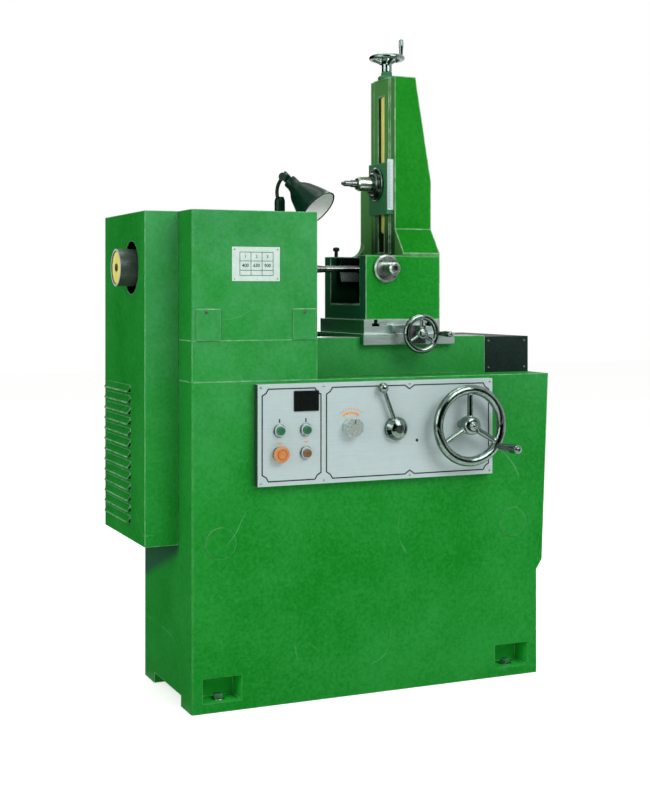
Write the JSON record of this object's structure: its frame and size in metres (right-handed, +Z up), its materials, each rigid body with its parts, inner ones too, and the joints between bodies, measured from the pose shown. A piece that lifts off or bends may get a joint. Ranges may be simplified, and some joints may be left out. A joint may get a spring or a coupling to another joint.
{
  "type": "connecting rod boring machine",
  "caption": "Floor-standing fine boring machine for connecting rods: green cabinet, belt-driven headstock with slim bar, sliding table with clamping fixture and tall pin column.",
  "frame": {"origin": "on the floor under the middle of the machine's overall box", "axes": "+X along the bed to the right as the operator faces it, +Y to the back, +Z up"},
  "size_m": [1.131, 0.664, 1.71],
  "materials": {
    "green_paint": "semi-gloss enamel",
    "black_paint": "satin black enamel",
    "machined_steel": "turned or ground steel",
    "scraped_iron": "ground and scraped",
    "cast_grey": "cast",
    "motor_grey": "grey enamel",
    "panel_silver": "satin anodised",
    "display_black": "glossy",
    "belt_rubber": "matt",
    "yellow_brass": "turned",
    "bright_chrome": "polished",
    "dark_green_iron": "dark green enamel",
    "green_plastic": "gloss",
    "brown_plastic": "gloss",
    "orange_plastic": "gloss",
    "lamp_green": "gloss dark green outside, white inside"
  },
  "bodies": {
    "base": {"base_cabinet": "green_paint", "rear_access_cover": "green_paint", "bed": "green_paint", "bed_end_guard": "black_paint", "headstock_housing": "green_paint", "speed_plate": "panel_silver", "front_bearing": "machined_steel", "rear_bearing": "machined_steel", "drive_belt": "belt_rubber", "drive_motor": "motor_grey", "control_panel": "panel_silver", "panel_display": "display_black", "feed_cylinder": "machined_steel", "hydraulic_unit": "motor_grey", "valve_block": "machined_steel", "lamp_base": "black_paint", "hinge_lower": "black_paint", "hinge_upper": "black_paint"},
    "guard": {"belt_guard": "green_paint"},
    "spindle_set": {"spindle": "machined_steel", "boring_bar": "machined_steel", "spindle_pulley": "cast_grey", "hand_disc": "yellow_brass"},
    "motor_rotor": {"motor_pulley": "cast_grey"},
    "table": {"saddle": "scraped_iron", "feed_rack": "machined_steel", "piston_rod": "bright_chrome", "screw_bracket": "cast_grey"},
    "table_wheel": {"table_handwheel": "bright_chrome", "table_handwheel_grip": "bright_chrome", "pinion_shaft": "machined_steel"},
    "idler": {"idler_gear": "cast_grey"},
    "cross": {"cross_slide": "scraped_iron", "fixture_body": "green_paint", "column": "green_paint", "column_cap": "black_paint", "rear_vee_jaw": "machined_steel", "clamp_nut": "machined_steel", "clamp_stud": "black_paint"},
    "cross_wheel": {"cross_handwheel": "bright_chrome", "cross_handwheel_grip": "bright_chrome", "cross_screw": "machined_steel"},
    "pin_carriage": {"carriage": "dark_green_iron", "carriage_scale": "panel_silver", "pin_sleeve": "machined_steel", "locating_pin": "machined_steel"},
    "column_wheel": {"column_screw": "yellow_brass", "column_handwheel": "bright_chrome", "column_handwheel_grip": "bright_chrome"},
    "jaw": {"front_vee_jaw": "machined_steel"},
    "jaw_screw": {"clamp_screw": "machined_steel"},
    "start": {"start_button": "green_plastic"},
    "run": {"run_button": "green_plastic"},
    "inch": {"inch_button": "brown_plastic"},
    "stop": {"stop_button": "orange_plastic"},
    "knob": {"feed_knob": "panel_silver"},
    "lever": {"feed_lever": "bright_chrome"},
    "lamp_stem": {"lamp_arm": "black_paint"},
    "lamp_head": {"lamp_shade": "lamp_green"}
  },
  "joints": [
    {"name": "spindle_turn", "type": "hinge", "parent": "base", "child": "spindle_set", "pos_m": [-0.11, 0.066, 1.079], "axis": [1, 0, 0], "continuous": true},
    {"name": "motor_turn", "type": "hinge", "parent": "base", "child": "motor_rotor", "pos_m": [-0.438, 0.066, 0.5], "axis": [1, 0, 0], "continuous": true},
    {"name": "guard_door", "type": "hinge", "parent": "base", "child": "guard", "pos_m": [-0.446, 0.327, 0.9], "axis": [0, 0, -1], "range_deg": [0, 100]},
    {"name": "table_slide", "type": "slide", "parent": "base", "child": "table", "axis": [1, 0, 0], "range_m": [-0.1, 0.1]},
    {"name": "table_handwheel_turn", "type": "hinge", "parent": "base", "child": "table_wheel", "pos_m": [0.289, -0.222, 0.675], "axis": [0, -1, 0], "range_deg": [-289, 289]},
    {"name": "idler_turn", "type": "hinge", "parent": "base", "child": "idler", "pos_m": [0.21206, 0.109, 0.7515], "axis": [0, 1, 0], "range_deg": [-68, 68]},
    {"name": "cross_slide_move", "type": "slide", "parent": "table", "child": "cross", "axis": [0, 1, 0], "range_m": [-0.02, 0.02]},
    {"name": "cross_handwheel_turn", "type": "hinge", "parent": "table", "child": "cross_wheel", "pos_m": [0.205, -0.115, 0.909], "axis": [0, -1, 0], "range_deg": [-1445, 1445]},
    {"name": "carriage_slide", "type": "slide", "parent": "cross", "child": "pin_carriage", "axis": [0, 0, 1], "range_m": [-0.04, 0.2]},
    {"name": "column_handwheel_turn", "type": "hinge", "parent": "cross", "child": "column_wheel", "pos_m": [0.192, 0.066, 1.655], "axis": [0, 0, -1], "range_deg": [-2885, 14405]},
    {"name": "jaw_slide", "type": "slide", "parent": "cross", "child": "jaw", "axis": [0, 1, 0], "range_m": [0, 0.025]},
    {"name": "clamp_screw_turn", "type": "hinge", "parent": "jaw", "child": "jaw_screw", "pos_m": [0.13, -0.114, 1.079], "axis": [0, 1, 0], "range_deg": [-5, 2255]},
    {"name": "start_press", "type": "slide", "parent": "base", "child": "start", "axis": [0, 1, 0], "range_m": [0, 0.004], "stiffness_N_per_m": 800},
    {"name": "run_press", "type": "slide", "parent": "base", "child": "run", "axis": [0, 1, 0], "range_m": [0, 0.004], "stiffness_N_per_m": 800},
    {"name": "inch_press", "type": "slide", "parent": "base", "child": "inch", "axis": [0, 1, 0], "range_m": [0, 0.004], "stiffness_N_per_m": 800},
    {"name": "stop_press", "type": "slide", "parent": "base", "child": "stop", "axis": [0, 1, 0], "range_m": [0, 0.004], "stiffness_N_per_m": 800},
    {"name": "feed_knob_turn", "type": "hinge", "parent": "base", "child": "knob", "pos_m": [-0.028, -0.182, 0.68], "axis": [0, 1, 0], "range_deg": [-135, 135]},
    {"name": "feed_lever_swing", "type": "hinge", "parent": "base", "child": "lever", "pos_m": [0.094, -0.182, 0.672], "axis": [0, 1, 0], "range_deg": [-30, 30]},
    {"name": "lamp_swivel", "type": "hinge", "parent": "base", "child": "lamp_stem", "pos_m": [-0.126, 0.055, 1.24], "axis": [0, 0, 1], "range_deg": [0, 60]},
    {"name": "lamp_tilt", "type": "hinge", "parent": "lamp_stem", "child": "lamp_head", "pos_m": [-0.115, 0.041, 1.319], "axis": [-0.7863, -0.6178, 0], "range_deg": [0, 60]}
  ],
  "couplings": [
    {"joint": "motor_turn", "follows": "spindle_turn", "ratio": 1.5556},
    {"joint": "table_handwheel_turn", "follows": "table_slide", "rad_per_m": 50},
    {"joint": "idler_turn", "follows": "table_slide", "rad_per_m": 11.299},
    {"joint": "cross_handwheel_turn", "follows": "cross_slide_move", "rad_per_m": 1256.6},
    {"joint": "column_handwheel_turn", "follows": "carriage_slide", "rad_per_m": 1256.6},
    {"joint": "clamp_screw_turn", "follows": "jaw_slide", "rad_per_m": 1570.8}
  ]
}
